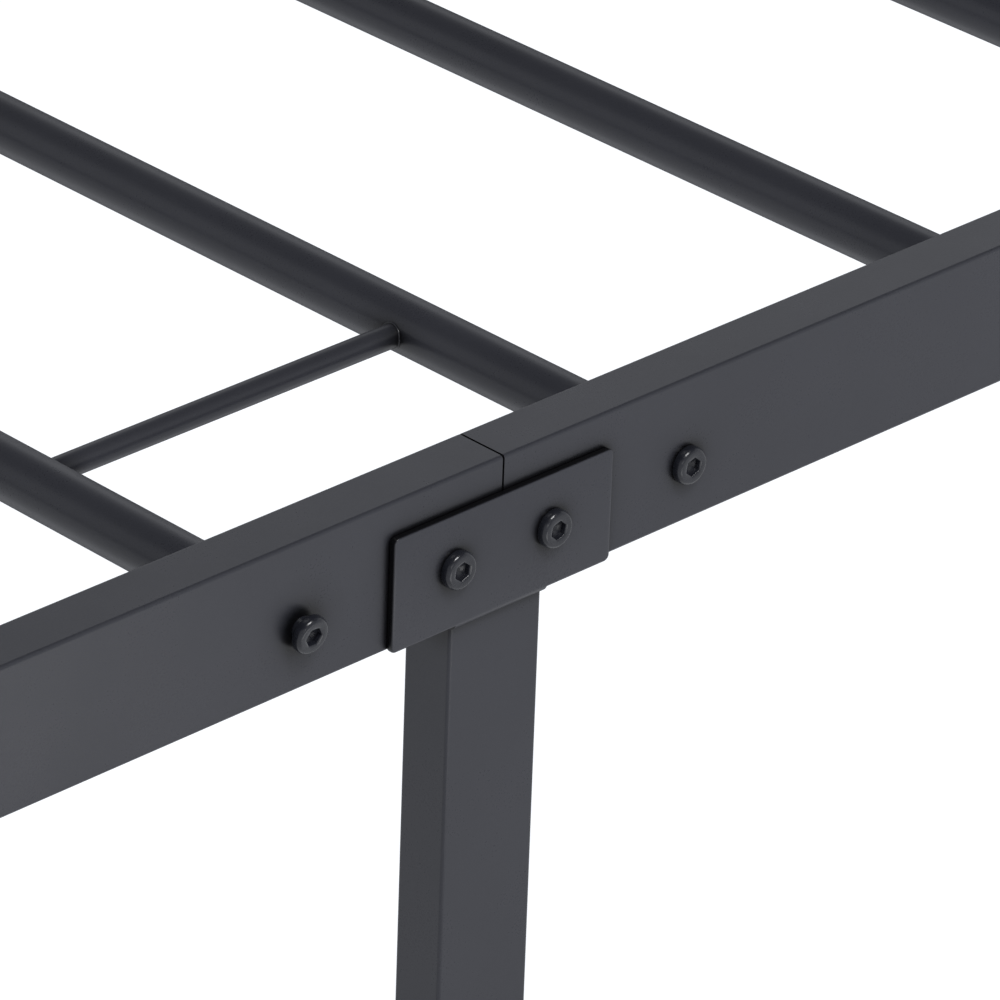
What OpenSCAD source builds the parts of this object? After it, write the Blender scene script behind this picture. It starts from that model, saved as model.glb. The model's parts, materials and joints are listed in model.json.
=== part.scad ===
// Knock-down metal platform bed frame: tube side rails in two halves, round cross slats
// bolted in from outside, legs hung on bracket plates, and a centre beam on its own legs.
// Frame: X along the bed with the head end at +X, Y across it, Z up from the floor.
// The origin is on the floor under the middle of the bed. "Left" is the -Y side.

/* [Overall size] */
// Length over the side rails
frame_l = 2032; // [2020:1:2100]
// Width over the side rails
frame_w = 1524; // [900:1:1930]
// Height of the rails' top edge above the floor
frame_h = 355.6; // [330:0.1:450]

/* [Rails] */
// Depth of a rail, top to bottom
rail_h = 50.8; // [48:0.1:56]
// Thickness of a rail, outside to inside
rail_t = 20; // [19.5:0.5:25]
// Wall of the rail tube
rail_wall = 1.5; // [1.2:0.1:1.6]
// Outside corner radius of every rectangular tube
tube_r = 1.2; // [1.1:0.1:1.8]
// Gap left between the two halves of a side rail
seam_gap = 0.8; // [0.5:0.1:2]
// How far the seam sits towards the head from mid-length
seam_x = 1; // [-2:0.5:2]

/* [Slats] */
// Number of cross slats
slat_count = 12; // [6:2:12]
// Spacing of the slats, centre to centre
slat_pitch = 164; // [150:1:164]
// Diameter of a slat tube
slat_d = 19.5; // [18.5:0.5:20.5]
// Wall of a slat tube
slat_wall = 1.2; // [1:0.1:1.5]
// Depth of the slats' axes below the rails' top edge
slat_drop = 30.4; // [29:0.1:32]
// Diameter of the rod that ties the two middle slats
tie_rod_d = 8.3; // [6:0.1:10]
// Distance of the tie rod from the side rail's outer face
tie_rod_in = 125; // [90:1:200]

/* [Legs] */
// Wide side of a leg tube
leg_w = 39; // [36:0.5:40]
// Narrow side of a leg tube
leg_t = 20; // [19:0.5:20]
// Wall of a leg tube
leg_wall = 1.9; // [1.5:0.1:2.2]
// Thickness of a foot cap under the tube
cap_h = 4; // [3:0.5:8]
// Distance of the outer centre legs from mid-length
centre_leg_x = 410; // [300:1:540]

/* [Bracket plates] */
// Length of a middle leg's bracket plate
plate_l = 93; // [85:1:110]
// Height of a bracket plate
plate_h = 39.6; // [38:0.1:42]
// Thickness of a bracket plate
plate_t = 2.5; // [2:0.1:3]
// Corner radius of a bracket plate
plate_r = 2; // [1:0.5:4]
// Spacing of the two bolts in a middle leg's plate
plate_bolt_gap = 41; // [40:0.5:60]
// How far a bracket plate's lower edge hangs below the rail
plate_drop = 0.6; // [0:0.1:1.5]
// Length of a corner plate's arms
corner_arm = 92; // [90:1:96]

/* [Centre beam] */
// Depth of the beam, top to bottom
beam_h = 40; // [38:0.5:45]
// Thickness of the beam
beam_t = 20; // [19:0.5:22]
// Thickness of the saddle pad between a slat and the beam
saddle_t = 3; // [2:0.5:4]

/* [Hidden] */
$fn = 64;

// Heights
rail_bottom = frame_h - rail_h;
slat_z = frame_h - slat_drop;
bolt_z = slat_z;
beam_top = slat_z - slat_d / 2 - saddle_t;
beam_bottom = beam_top - beam_h;

// Plan positions
side_y = frame_w / 2;
end_x = frame_l / 2;
slat_len = frame_w - 2 * rail_t;
end_rail_len = frame_w - 2 * rail_t;
slat_xs = [for (i = [0 : slat_count - 1]) (i - (slat_count - 1) / 2) * slat_pitch];

// M8 button-head screws, nuts and their clearance holes
bolt_r = 4;
bolt_hole_r = 4.25;
head_r = 6.4;
head_h = 3.4;
head_flat_r = 5.6;
head_rim = 1.8;
hex_af = 5.5;
hex_depth = 2.8;
nut_af = 13;
nut_h = 6.5;
slat_bolt_len = 35;
plate_bolt_len = 16;
beam_bolt_len = 32;
leg_bolt_len = 12;

// A bracket plate lies on the rail's outer face. Its middle is folded in under the rail as a
// tongue, which closes the leg's top and is welded to the leg's walls.
fold_r = 1;
tongue_w = leg_w - 2 * leg_wall;
tongue_gap = 0.5;
corner_bolt_in = [52, 76];

// Splice sleeve inside the side rail
sleeve_fit = 0.2;
sleeve_len = 120;
sleeve_wall = 1.5;
sleeve_t = rail_t - 2 * rail_wall - 2 * sleeve_fit;
sleeve_h = rail_h - 2 * rail_wall - 2 * sleeve_fit;

// Threaded plug in a slat's end
insert_len = 20;
insert_r = slat_d / 2 - slat_wall;

// Plates, channel and saddles of the centre beam
end_plate_t = 3;
end_plate_w = 60;
end_plate_top = 345;
end_bolt_y = 20;
top_plate_l = 90;
top_bolt_x = 32;
channel_t = 2.5;
channel_len = 150;
channel_h = 34;
channel_bolt_x = 45;
saddle_l = 30;
saddle_rise = 5;

// Plastic plugs of the foot caps and of the side rails' ends
plug_h = 14;
plug_fit = 0.1;
plug_r = 0.5;

cut = 1;

SIDES = [["left", -1], ["right", 1]];
ENDS = [["head", 1], ["foot", -1]];
SLATS = [for (i = [1 : slat_count]) str("slat_", i < 10 ? "0" : "", i)];

// ---------- outlines ----------

// Rectangle with rounded corners, centred
module rounded_rect(w, h, r) {
    square([w - 2 * r, h], center = true);
    square([w, h - 2 * r], center = true);
    for (sx = [-1, 1], sy = [-1, 1])
        translate([sx * (w / 2 - r), sy * (h / 2 - r)]) circle(r = r);
}

// Section of a rectangular tube, centred
module tube_section(w, h, wall) {
    difference() {
        rounded_rect(w, h, tube_r);
        rounded_rect(w - 2 * wall, h - 2 * wall, max(tube_r - wall, 0.3));
    }
}

// Square that reaches from (-a, -a) to the origin, with the corner at the origin rounded
module corner_square(a, r) {
    translate([-a, -a]) square([a - r, a]);
    translate([-a, -a]) square([a, a - r]);
    translate([-r, -r]) circle(r = r);
}

// ---------- placing ----------

// Lay a section drawn as (Y, Z) along X, from x = 0 to x = len
module along_x(len) {
    rotate([90, 0, 90]) linear_extrude(len) children();
}

// Lay a section drawn as (X, Z) along Y, centred
module along_y(len) {
    rotate([90, 0, 0]) linear_extrude(len, center = true) children();
}

// Send what is drawn for the head end or the right side to another end or side
module to_end(ex) {
    mirror([ex < 0 ? 1 : 0, 0, 0]) children();
}

module to_side(sy) {
    mirror([0, sy < 0 ? 1 : 0, 0]) children();
}

// Turn what is drawn along +Z so that it points out of the right side rail
module out_y() {
    rotate([-90, 0, 0]) children();
}

// Turn what is drawn along +Z so that it points out of the head rail
module out_x() {
    rotate([0, 90, 0]) children();
}

// Each place of a corner plate's bolts, on the right head corner: first the arm on the side
// rail, then the arm on the end rail; z = 0 of the children is the rail's outer face
module at_corner_bolts() {
    for (d = corner_bolt_in) {
        translate([end_x - d, side_y, bolt_z]) out_y() children();
        translate([end_x, side_y - d, bolt_z]) out_x() children();
    }
}

module at_all_corners() {
    for (e = ENDS, s = SIDES) to_end(e[1]) to_side(s[1]) children();
}

// The two places of a middle leg's bolts on the right side
module at_plate_bolts() {
    for (sx = [-1, 1]) translate([sx * plate_bolt_gap / 2, side_y, bolt_z]) out_y() children();
}

// ---------- fasteners, drawn with the seat at z = 0 and the head above it ----------

module button_screw(len) {
    // The dome is a sphere through the rim's top edge and the flat's edge
    dome_z = (head_flat_r * head_flat_r + head_h * head_h - head_r * head_r - head_rim * head_rim)
             / (2 * (head_h - head_rim));
    dome_r = sqrt(head_r * head_r + (head_rim - dome_z) * (head_rim - dome_z));
    color([0.07, 0.07, 0.08]) {
        difference() {
            intersection() {
                cylinder(r = head_r, h = head_h);
                translate([0, 0, dome_z]) sphere(r = dome_r);
            }
            translate([0, 0, head_h - hex_depth])
                cylinder(r = hex_af / sqrt(3), h = hex_depth + cut, $fn = 6);
        }
        translate([0, 0, -len]) cylinder(r = bolt_r, h = len);
    }
}

module hex_nut() {
    color([0.62, 0.63, 0.64]) difference() {
        cylinder(r = nut_af / sqrt(3), h = nut_h, $fn = 6);
        translate([0, 0, -cut]) cylinder(r = bolt_r, h = nut_h + 2 * cut);
    }
}

// Clearance hole from z = top down to z = -depth
module bolt_hole(top, depth) {
    translate([0, 0, -depth]) cylinder(r = bolt_hole_r, h = top + depth);
}

// ---------- rails ----------

module side_rail(sy, ex) {
    inner_x = ex * seam_x + seam_gap / 2;
    color([0.27, 0.28, 0.30]) difference() {
        to_end(ex) to_side(sy) translate([inner_x, side_y - rail_t / 2, frame_h - rail_h / 2])
            along_x(end_x - inner_x) tube_section(rail_t, rail_h, rail_wall);
        for (x = slat_xs) if (x * ex > 0)
            translate([x, sy * (side_y - rail_t / 2), slat_z]) rotate([90, 0, 0])
                cylinder(r = bolt_hole_r, h = rail_t + 2 * cut, center = true);
        to_side(sy) at_plate_bolts() bolt_hole(cut, rail_wall + cut);
        to_end(ex) to_side(sy) at_corner_bolts() bolt_hole(cut, rail_wall + cut);
    }
}

// The rail across the head or foot end, between the side rails
module end_rail(ex) {
    color([0.27, 0.28, 0.30]) to_end(ex) difference() {
        translate([end_x - rail_t / 2, 0, frame_h - rail_h / 2])
            along_y(end_rail_len) tube_section(rail_t, rail_h, rail_wall);
        for (s = SIDES) to_side(s[1]) at_corner_bolts() bolt_hole(cut, rail_wall + cut);
        for (y = [-end_bolt_y, end_bolt_y])
            translate([end_x - rail_t, y, bolt_z]) out_x() bolt_hole(rail_wall + cut, cut);
    }
}

// Sleeve inside the seam, drawn up against the rail's outer wall by the plate's bolts
module rail_splice(sy) {
    color([0.45, 0.46, 0.48]) difference() {
        to_side(sy) translate([seam_x - sleeve_len / 2, side_y - rail_wall - sleeve_t / 2,
                               frame_h - rail_h / 2])
            along_x(sleeve_len) tube_section(sleeve_t, sleeve_h, sleeve_wall);
        to_side(sy) at_plate_bolts() bolt_hole(0, rail_wall + sleeve_wall + cut);
    }
}

// ---------- slats ----------

module slat(i) {
    color([0.27, 0.28, 0.30]) translate([slat_xs[i - 1], 0, slat_z]) along_y(slat_len)
        difference() {
            circle(d = slat_d);
            circle(d = slat_d - 2 * slat_wall);
        }
}

// Rod between the two middle slats, coped to fit against them
module tie_rod(sy) {
    color([0.24, 0.25, 0.27]) difference() {
        translate([0, sy * (side_y - tie_rod_in), slat_z]) rotate([0, 90, 0])
            cylinder(d = tie_rod_d, h = slat_pitch, center = true);
        for (sx = [-1, 1])
            translate([sx * slat_pitch / 2, sy * (side_y - tie_rod_in), slat_z]) rotate([90, 0, 0])
                cylinder(d = slat_d, h = 2 * tie_rod_d, center = true);
    }
}

module slat_insert() {
    color([0.62, 0.63, 0.64]) translate([0, 0, -rail_t - insert_len]) difference() {
        cylinder(r = insert_r, h = insert_len);
        translate([0, 0, -cut]) cylinder(r = bolt_r, h = insert_len + 2 * cut);
    }
}

module at_slat_ends() {
    for (s = SIDES, x = slat_xs) to_side(s[1]) translate([x, side_y, slat_z]) out_y() children();
}

// Pad with a hollow for the slat, standing on the beam
module slat_saddle() {
    base_z = slat_z - slat_d / 2 - saddle_t;
    color([0.08, 0.08, 0.09]) difference() {
        translate([0, 0, base_z + (saddle_t + saddle_rise) / 2])
            cube([saddle_l, beam_t, saddle_t + saddle_rise], center = true);
        translate([0, 0, slat_z]) rotate([90, 0, 0])
            cylinder(d = slat_d, h = beam_t + 2 * cut, center = true);
    }
}

// ---------- legs ----------

// Leg tube from the foot cap up to z = top
module leg_tube(w, t, top) {
    translate([0, 0, cap_h]) linear_extrude(top - cap_h) tube_section(w, t, leg_wall);
}

// Opening through a leg's outer wall at the top, where the bracket's tongue comes in; the
// wall's outer face is at y = 0
module tongue_notch() {
    translate([-tongue_w / 2, -leg_wall - cut, rail_bottom - plate_t])
        cube([tongue_w, leg_wall + 2 * cut, plate_t + cut]);
}

// Leg tube under a rail, its outer face at y = 0
module rail_leg(t) {
    color([0.27, 0.28, 0.30]) difference() {
        translate([0, -t / 2, 0]) leg_tube(leg_w, t, rail_bottom);
        tongue_notch();
    }
}

module mid_leg(sy) {
    to_side(sy) translate([0, side_y, 0]) rail_leg(leg_t);
}

module corner_leg(ex, sy) {
    to_end(ex) to_side(sy) translate([end_x - leg_w / 2, side_y, 0]) rail_leg(leg_w);
}

module centre_leg(x, top) {
    color([0.27, 0.28, 0.30]) translate([x, 0, 0]) leg_tube(leg_w, leg_t, top);
}

module foot_cap(w, t) {
    color([0.06, 0.06, 0.07]) {
        linear_extrude(cap_h) rounded_rect(w, t, tube_r);
        linear_extrude(cap_h + plug_h)
            rounded_rect(w - 2 * leg_wall - 2 * plug_fit, t - 2 * leg_wall - 2 * plug_fit, plug_r);
    }
}

module corner_foot_caps() {
    at_all_corners()
        translate([end_x - leg_w / 2, side_y - leg_w / 2, 0]) foot_cap(leg_w, leg_w);
}

module leg_foot_caps() {
    for (s = SIDES)
        to_side(s[1]) translate([0, side_y - leg_t / 2, 0]) foot_cap(leg_w, leg_t);
    for (x = [-centre_leg_x, 0, centre_leg_x]) translate([x, 0, 0]) foot_cap(leg_w, leg_t);
}

// Plug pressed flush into the end of each side rail at the bed's corners
module rail_end_plugs() {
    bore = 2 * (rail_wall + plug_fit);
    color([0.06, 0.06, 0.07]) at_all_corners()
        translate([end_x - plug_h, side_y - rail_t / 2, frame_h - rail_h / 2])
            along_x(plug_h) rounded_rect(rail_t - bore, rail_h - bore, plug_r);
}

// ---------- bracket plates ----------

// Sheet that curves in from a plate's lower edge and runs under the rail for a depth; the
// rail's outer face is at y = 0
module tongue(depth) {
    outer_r = fold_r + plate_t;
    translate([-tongue_w / 2, 0, rail_bottom]) along_x(tongue_w) {
        translate([-depth, -plate_t]) square([depth - fold_r, plate_t]);
        translate([-fold_r, fold_r]) intersection() {
            difference() {
                circle(r = outer_r);
                circle(r = fold_r);
            }
            translate([0, -outer_r]) square(outer_r);
        }
    }
}

// Room in a plate's lower edge for the fold
module fold_room() {
    translate([-tongue_w / 2, -cut, rail_bottom - plate_h])
        cube([tongue_w, plate_t + 2 * cut, plate_h + fold_r]);
}

module mid_leg_plate(sy) {
    color([0.27, 0.28, 0.30]) to_side(sy) {
        difference() {
            translate([0, side_y + plate_t / 2, rail_bottom - plate_drop + plate_h / 2])
                along_y(plate_t) rounded_rect(plate_l, plate_h, plate_r);
            at_plate_bolts() bolt_hole(plate_t + cut, cut);
            translate([0, side_y, 0]) fold_room();
        }
        translate([0, side_y, 0]) tongue(leg_t - leg_wall - tongue_gap);
    }
}

// Angle round the right head corner
module corner_angle() {
    intersection() {
        translate([end_x + plate_t, side_y + plate_t, rail_bottom - plate_drop])
            linear_extrude(plate_h) difference() {
                corner_square(corner_arm, plate_t);
                translate([-plate_t - corner_arm, -plate_t - corner_arm]) square(corner_arm);
            }
        rounded_box_y();
        rounded_box_x();
    }
}

// Blocks that round the free ends of the angle's two arms
module rounded_box_y() {
    span = 2 * corner_arm;
    translate([end_x + plate_t - corner_arm + span / 2, side_y,
               rail_bottom - plate_drop + plate_h / 2])
        along_y(2 * span) rounded_rect(span, plate_h, plate_r);
}

module rounded_box_x() {
    span = 2 * corner_arm;
    translate([end_x - span, side_y + plate_t - corner_arm + span / 2,
               rail_bottom - plate_drop + plate_h / 2])
        along_x(2 * span) rounded_rect(span, plate_h, plate_r);
}

module corner_plate(ex, sy) {
    color([0.27, 0.28, 0.30]) to_end(ex) to_side(sy) {
        difference() {
            corner_angle();
            at_corner_bolts() bolt_hole(plate_t + cut, cut);
            translate([end_x - leg_w / 2, side_y, 0]) fold_room();
        }
        translate([end_x - leg_w / 2, side_y, 0]) tongue(leg_w - leg_wall - tongue_gap);
    }
}

// ---------- centre beam ----------

module centre_beam(ex) {
    inner_x = seam_gap / 2;
    color([0.27, 0.28, 0.30]) to_end(ex) difference() {
        translate([inner_x, 0, beam_top - beam_h / 2])
            along_x(end_x - rail_t - end_plate_t - inner_x)
                tube_section(beam_t, beam_h, rail_wall);
        translate([channel_bolt_x, 0, beam_top - beam_h / 2]) rotate([90, 0, 0])
            cylinder(r = bolt_hole_r, h = beam_t + 2 * cut, center = true);
        for (sx = [-1, 1]) translate([centre_leg_x + sx * top_bolt_x, 0, beam_bottom])
            bolt_hole(rail_wall + cut, cut);
    }
}

// Plate welded on the beam's end and bolted to the head or foot rail
module beam_end_plate(ex) {
    height = end_plate_top - beam_bottom;
    color([0.27, 0.28, 0.30]) to_end(ex) difference() {
        translate([end_x - rail_t - end_plate_t, 0, beam_bottom + height / 2])
            along_x(end_plate_t) rounded_rect(end_plate_w, height, plate_r);
        for (y = [-end_bolt_y, end_bolt_y])
            translate([end_x - rail_t, y, bolt_z]) out_x() bolt_hole(cut, end_plate_t + cut);
    }
}

// Plate welded on the leg's top and bolted up into the beam
module centre_leg_plate(ex) {
    color([0.27, 0.28, 0.30]) translate([ex * centre_leg_x, 0, beam_bottom - end_plate_t])
        linear_extrude(end_plate_t) difference() {
            rounded_rect(top_plate_l, leg_w, plate_r);
            for (sx = [-1, 1]) translate([sx * top_bolt_x, 0]) circle(r = bolt_hole_r);
        }
}

// Channel on the middle leg that holds both halves of the beam
module centre_channel() {
    outer_t = beam_t + 2 * channel_t;
    color([0.27, 0.28, 0.30]) difference() {
        translate([-channel_len / 2, 0, beam_bottom - channel_t + channel_h / 2])
            along_x(channel_len) difference() {
                square([outer_t, channel_h], center = true);
                translate([0, channel_t]) square([beam_t, channel_h], center = true);
            }
        for (sx = [-1, 1]) translate([sx * channel_bolt_x, 0, beam_top - beam_h / 2])
            rotate([90, 0, 0]) cylinder(r = bolt_hole_r, h = outer_t + 2 * cut, center = true);
    }
}

// ---------- groups of fasteners ----------

module slat_saddles() {
    for (x = slat_xs) translate([x, 0, 0]) slat_saddle();
}

module slat_inserts() {
    at_slat_ends() slat_insert();
}

module slat_bolts() {
    at_slat_ends() button_screw(slat_bolt_len);
}

module mid_plate_bolts() {
    for (s = SIDES) to_side(s[1]) at_plate_bolts()
        translate([0, 0, plate_t]) button_screw(plate_bolt_len);
}

module corner_plate_bolts() {
    at_all_corners() at_corner_bolts() translate([0, 0, plate_t]) button_screw(plate_bolt_len);
}

// Nuts welded inside the sleeves and the rails, behind the bracket plates
module rail_nuts() {
    for (s = SIDES) to_side(s[1]) at_plate_bolts()
        translate([0, 0, -rail_wall - sleeve_wall - nut_h]) hex_nut();
    at_all_corners() at_corner_bolts() translate([0, 0, -rail_wall - nut_h]) hex_nut();
}

module beam_end_bolts() {
    for (e = ENDS, y = [-end_bolt_y, end_bolt_y])
        to_end(e[1]) translate([end_x - rail_t - end_plate_t, y, bolt_z]) rotate([0, -90, 0])
            button_screw(plate_bolt_len);
}

module centre_leg_bolts() {
    for (e = ENDS, sx = [-1, 1])
        translate([e[1] * centre_leg_x + sx * top_bolt_x, 0, beam_bottom - end_plate_t])
            rotate([180, 0, 0]) button_screw(leg_bolt_len);
}

// Nuts inside the end rails, inside the beam and on the channel
module beam_nuts() {
    for (e = ENDS, y = [-end_bolt_y, end_bolt_y])
        to_end(e[1]) translate([end_x - rail_t + rail_wall, y, bolt_z]) out_x() hex_nut();
    for (e = ENDS, sx = [-1, 1])
        translate([e[1] * centre_leg_x + sx * top_bolt_x, 0, beam_bottom + rail_wall]) hex_nut();
    for (sx = [-1, 1])
        translate([sx * channel_bolt_x, beam_t / 2 + channel_t, beam_top - beam_h / 2])
            out_y() hex_nut();
}

module channel_bolts() {
    for (sx = [-1, 1])
        translate([sx * channel_bolt_x, -beam_t / 2 - channel_t, beam_top - beam_h / 2])
            rotate([90, 0, 0]) button_screw(beam_bolt_len);
}

// ---------- nodes ----------

for (s = SIDES, e = ENDS)
    side_rail(s[1], e[1]);
for (e = ENDS)
    end_rail(e[1]);
for (s = SIDES)
    rail_splice(s[1]);
for (i = [1 : slat_count])
    slat(i);
for (s = SIDES)
    tie_rod(s[1]);
for (s = SIDES)
    mid_leg(s[1]);
for (s = SIDES)
    mid_leg_plate(s[1]);
for (e = ENDS, s = SIDES)
    corner_leg(e[1], s[1]);
for (e = ENDS, s = SIDES)
    corner_plate(e[1], s[1]);
for (e = ENDS)
    centre_beam(e[1]);
for (e = ENDS)
    beam_end_plate(e[1]);
for (e = ENDS)
    centre_leg(e[1] * centre_leg_x, beam_bottom - end_plate_t);
for (e = ENDS)
    centre_leg_plate(e[1]);
centre_leg(0, beam_bottom - channel_t);  // centre_leg_middle
centre_channel();
slat_saddles();
slat_inserts();
slat_bolts();
mid_plate_bolts();
corner_plate_bolts();
rail_nuts();
beam_end_bolts();
centre_leg_bolts();
beam_nuts();
channel_bolts();
corner_foot_caps();
leg_foot_caps();
rail_end_plugs();
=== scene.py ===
"""Looks of the metal bed frame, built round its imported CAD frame.

Lengths are in metres in the CAD's own frame: X along the bed, Y across it, Z up.
"""

import json
import math
import random

import bmesh
import bpy
from mathutils import Matrix, Vector


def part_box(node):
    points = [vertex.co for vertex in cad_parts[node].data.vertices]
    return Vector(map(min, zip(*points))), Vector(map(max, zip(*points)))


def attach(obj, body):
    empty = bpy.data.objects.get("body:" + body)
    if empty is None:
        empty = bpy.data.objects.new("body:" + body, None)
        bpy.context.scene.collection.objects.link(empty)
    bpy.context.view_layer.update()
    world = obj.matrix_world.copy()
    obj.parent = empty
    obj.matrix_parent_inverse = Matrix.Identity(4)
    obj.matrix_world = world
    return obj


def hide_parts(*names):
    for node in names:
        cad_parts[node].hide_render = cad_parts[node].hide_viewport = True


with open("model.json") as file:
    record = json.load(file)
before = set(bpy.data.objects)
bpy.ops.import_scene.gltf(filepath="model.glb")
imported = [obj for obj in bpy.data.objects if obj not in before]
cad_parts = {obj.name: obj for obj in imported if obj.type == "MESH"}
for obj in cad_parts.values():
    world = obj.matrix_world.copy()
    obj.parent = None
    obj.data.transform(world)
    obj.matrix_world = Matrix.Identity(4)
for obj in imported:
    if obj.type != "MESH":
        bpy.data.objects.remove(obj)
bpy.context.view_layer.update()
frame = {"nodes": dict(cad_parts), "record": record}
NODES = frame["nodes"]
TAU = 2 * math.pi
MM = 0.001
SIDES = {"left": -1, "right": 1}
ENDS = {"head": 1, "foot": -1}

# ---------- sizes, read from the CAD where its boxes give them ----------

rail_lo, rail_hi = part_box("side_rail_left_head")
slat_lo, slat_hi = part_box("slat_01")
plate_lo, plate_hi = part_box("mid_leg_plate_left")
leg_lo, leg_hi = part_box("mid_leg_left")
beam_lo, beam_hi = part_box("centre_beam_head")

SIDE_Y = -rail_lo.y
END_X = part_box("head_rail")[1].x
RAIL_TOP = rail_hi.z
RAIL_BOTTOM = rail_lo.z
SLAT_R = (slat_hi.z - slat_lo.z) / 2
SLAT_Z = (slat_hi.z + slat_lo.z) / 2
SLAT_WALL = 1.2 * MM
SLAT_NAMES = sorted(name for name in NODES if name.startswith("slat_") and name[5:].isdigit())
SLAT_XS = {name: sum(p.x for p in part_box(name)) / 2 for name in SLAT_NAMES}
LEG_W = leg_hi.x - leg_lo.x
LEG_T = 20 * MM
LEG_WALL = 1.9 * MM
RAIL_WALL = 1.5 * MM
TUBE_R = 1.2 * MM
BOLT_Z = SLAT_Z

PLATE_T = rail_lo.y - plate_lo.y
PLATE_L = plate_hi.x - plate_lo.x
PLATE_H = 39.6 * MM
PLATE_R = 2 * MM
PLATE_DROP = 0.6 * MM
PLATE_BOLT_GAP = 41 * MM
# Radius of a sheet's cut edges, and of the larger roll along a bracket's lower edge
PLATE_EDGE = 0.5 * MM
PLATE_ROLL = 1.2 * MM
CORNER_ARM = 92 * MM
CORNER_BOLT_IN = (52 * MM, 76 * MM)
CORNER_FOLD_R = 0.3 * MM
CORNER_FOLD_CLEAR = 1 * MM
FOLD_R = 1 * MM
TONGUE_GAP = 0.5 * MM

BEAM_T = beam_hi.y - beam_lo.y
BEAM_H = beam_hi.z - beam_lo.z
BEAM_Z = (beam_hi.z + beam_lo.z) / 2
END_BOLT_Y = 20 * MM
TOP_BOLT_X = 32 * MM
CHANNEL_BOLT_X = 45 * MM
CENTRE_LEG_X = sum(p.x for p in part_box("centre_leg_head")) / 2
SADDLE_T = 3 * MM
SADDLE_RISE = 5 * MM
SADDLE_L = 30 * MM
TIE_ROD_IN = 125 * MM
TIE_ROD_R = 4.15 * MM
CAP_H = 4 * MM
PLUG_H = 14 * MM
PLUG_FIT = 0.1 * MM
PLUG_R = 0.5 * MM
PLUG_TIP_H = 1.5 * MM
PLUG_TIP_IN = 1 * MM

# ---------- materials ----------


class Tree:
    """The node tree of a material or world, with short ways to add nodes and join them."""

    def __init__(self, owner, shader="Principled BSDF", coordinates="Object"):
        owner.use_nodes = True
        self.owner = owner
        self.nodes = owner.node_tree.nodes
        self.links = owner.node_tree.links
        self.shader = self.nodes[shader]
        self.place = self.nodes.new("ShaderNodeTexCoord").outputs[coordinates]

    def put(self, value, socket):
        """Joins a node's output to a socket, or sets the socket to a plain value."""
        if isinstance(value, bpy.types.NodeSocket):
            self.links.new(value, socket)
        elif isinstance(value, tuple):
            socket.default_value = (*value, 1)
        else:
            socket.default_value = value

    def noise(self, scale, detail=3.0, vector=None):
        node = self.nodes.new("ShaderNodeTexNoise")
        node.inputs["Scale"].default_value = scale
        node.inputs["Detail"].default_value = detail
        self.put(vector or self.place, node.inputs["Vector"])
        return node.outputs["Fac"]

    def span(self, value, lo, hi, out_lo=0.0, out_hi=1.0):
        node = self.nodes.new("ShaderNodeMapRange")
        levels = {"From Min": lo, "From Max": hi, "To Min": out_lo, "To Max": out_hi}
        for label, level in levels.items():
            node.inputs[label].default_value = level
        self.put(value, node.inputs["Value"])
        return node.outputs["Result"]

    def math(self, kind, a, b):
        node = self.nodes.new("ShaderNodeMath")
        node.operation = kind
        self.put(a, node.inputs[0])
        self.put(b, node.inputs[1])
        return node.outputs[0]

    def mix(self, factor, a, b):
        node = self.nodes.new("ShaderNodeMixRGB")
        self.put(factor, node.inputs["Fac"])
        self.put(a, node.inputs["Color1"])
        self.put(b, node.inputs["Color2"])
        return node.outputs["Color"]

    def bump(self, height, distance, strength, under=None):
        node = self.nodes.new("ShaderNodeBump")
        node.inputs["Distance"].default_value = distance
        node.inputs["Strength"].default_value = strength
        self.put(height, node.inputs["Height"])
        if under:
            self.put(under, node.inputs["Normal"])
        return node.outputs["Normal"]

    def dot(self, a, b):
        node = self.nodes.new("ShaderNodeVectorMath")
        node.operation = "DOT_PRODUCT"
        for value, socket in ((a, node.inputs[0]), (b, node.inputs[1])):
            if isinstance(value, Vector):
                socket.default_value = value
            else:
                self.put(value, socket)
        return node.outputs["Value"]

    def edge(self, radius, spread):
        """0 on flat faces, rising to 1 at an edge that is within the radius."""
        bevel = self.nodes.new("ShaderNodeBevel")
        bevel.samples = 4
        bevel.inputs["Radius"].default_value = radius
        flat = self.nodes.new("ShaderNodeNewGeometry").outputs["Normal"]
        return self.span(self.dot(bevel.outputs["Normal"], flat), 1 - spread, 1.0, 1, 0)

    def corner_shade_mask(self, distance):
        """1 on open faces, falling towards 0 deep in a corner: the mask for painted shade."""
        node = self.nodes.new("ShaderNodeAmbientOcclusion")
        node.samples = 8
        node.inputs["Distance"].default_value = distance
        return node.outputs["AO"]

    def grazing(self):
        """0 where a face is seen square on, rising towards 1 at a shape's outline."""
        return self.nodes.new("ShaderNodeLayerWeight").outputs["Facing"]

    def finish(self, colour, roughness, normal, metallic=0.0, specular=0.5):
        self.put(colour, self.shader.inputs["Base Color"])
        self.put(roughness, self.shader.inputs["Roughness"])
        self.put(normal, self.shader.inputs["Normal"])
        self.shader.inputs["Metallic"].default_value = metallic
        self.shader.inputs["Specular IOR Level"].default_value = specular
        return self.owner


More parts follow.
